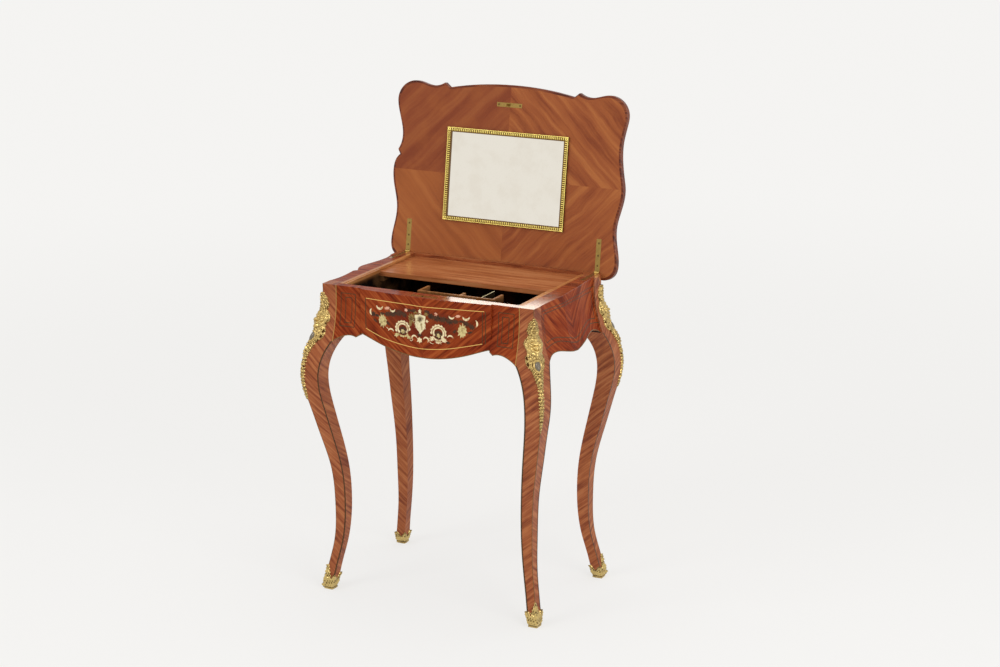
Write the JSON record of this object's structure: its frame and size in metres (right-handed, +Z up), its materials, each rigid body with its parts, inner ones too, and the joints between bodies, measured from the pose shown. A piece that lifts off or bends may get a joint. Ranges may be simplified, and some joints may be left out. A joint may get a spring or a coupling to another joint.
{
  "type": "dressing table",
  "caption": "Small dressing table on curved legs, with a hinged shaped lid that carries a framed mirror, open over a divided well and a fixed deck.",
  "frame": {"origin": "on the floor, under the middle of the table's overall width and depth with the lid open", "axes": "+Z up; -Y towards the front, where the bowed apron and the keyhole are; +X to the right seen from the front"},
  "size_m": [0.6134, 0.4744, 1.1218],
  "materials": {
    "kingwood_legs": "french polish over red-brown banded veneer",
    "kingwood_case": "glossy polish over red-orange veneer with inlaid lines and marquetry",
    "rail_wood": "worn polish",
    "lining_wood": "polished",
    "dark_bottom": "dull, stained nearly black",
    "deck_wood": "satin polish, straight grain",
    "bone": "polished bone, pale cream",
    "gilt_bronze": "gilded cast bronze, chased",
    "brass": "aged brass",
    "lock_steel": "dark iron",
    "mother_of_pearl": "iridescent pearl shell",
    "lid_veneer": "satin quartered veneer",
    "lid_edge_wood": "glossy dark red polish",
    "mirror_glass": "old silvered glass, slightly clouded",
    "mirror_backing": "bare thin board"
  },
  "bodies": {
    "carcass": {"leg_front_left": "kingwood_legs", "leg_front_right": "kingwood_legs", "leg_back_left": "kingwood_legs", "leg_back_right": "kingwood_legs", "front_panel": "kingwood_case", "back_panel": "kingwood_case", "side_panel_left": "kingwood_case", "side_panel_right": "kingwood_case", "back_rail": "rail_wood", "well_lining_left": "lining_wood", "well_lining_right": "lining_wood", "lining_bead_left": "lining_wood", "lining_bead_right": "lining_wood", "deck_bearer_left": "lining_wood", "deck_bearer_right": "lining_wood", "divider_long": "lining_wood", "divider_cross_left": "lining_wood", "divider_cross_middle": "lining_wood", "divider_cross_right": "lining_wood", "bottom_board": "dark_bottom", "deck_board": "deck_wood", "divider_slip": "bone", "knee_mount_front_left": "gilt_bronze", "knee_mount_front_right": "gilt_bronze", "knee_mount_back_left": "gilt_bronze", "knee_mount_back_right": "gilt_bronze", "sabot_front_left": "gilt_bronze", "sabot_front_right": "gilt_bronze", "sabot_back_left": "gilt_bronze", "sabot_back_right": "gilt_bronze", "stile_fillets": "brass", "lock_selvedge": "brass", "lock_screws": "brass", "hinge_rim_leaf_left": "brass", "hinge_rim_leaf_right": "brass", "hinge_pin_left": "brass", "hinge_pin_right": "brass", "hinge_rim_screws": "brass", "lock_case": "lock_steel", "escutcheon": "mother_of_pearl"},
    "lid": {"lid_board": "lid_veneer", "lid_edge_moulding": "lid_edge_wood", "mirror_backing": "mirror_backing", "mirror_glass": "mirror_glass", "mirror_frame_top": "gilt_bronze", "mirror_frame_bottom": "gilt_bronze", "mirror_frame_left": "gilt_bronze", "mirror_frame_right": "gilt_bronze", "strike_plate": "brass", "strike_staple": "brass", "strike_screws": "brass", "hinge_lid_leaf_left": "brass", "hinge_lid_leaf_right": "brass", "hinge_lid_screws": "brass"},
    "lock_bolt": {"lock_bolt": "lock_steel"}
  },
  "joints": [
    {"name": "lid_hinge", "type": "hinge", "parent": "carcass", "child": "lid", "pos_m": [0, 0.16197, 0.722], "axis": [1, 0, 0], "range_deg": [0, 98.58]},
    {"name": "lock_bolt_slide", "type": "slide", "parent": "carcass", "child": "lock_bolt", "axis": [-1, 0, 0], "range_m": [0, 0.006]}
  ]
}
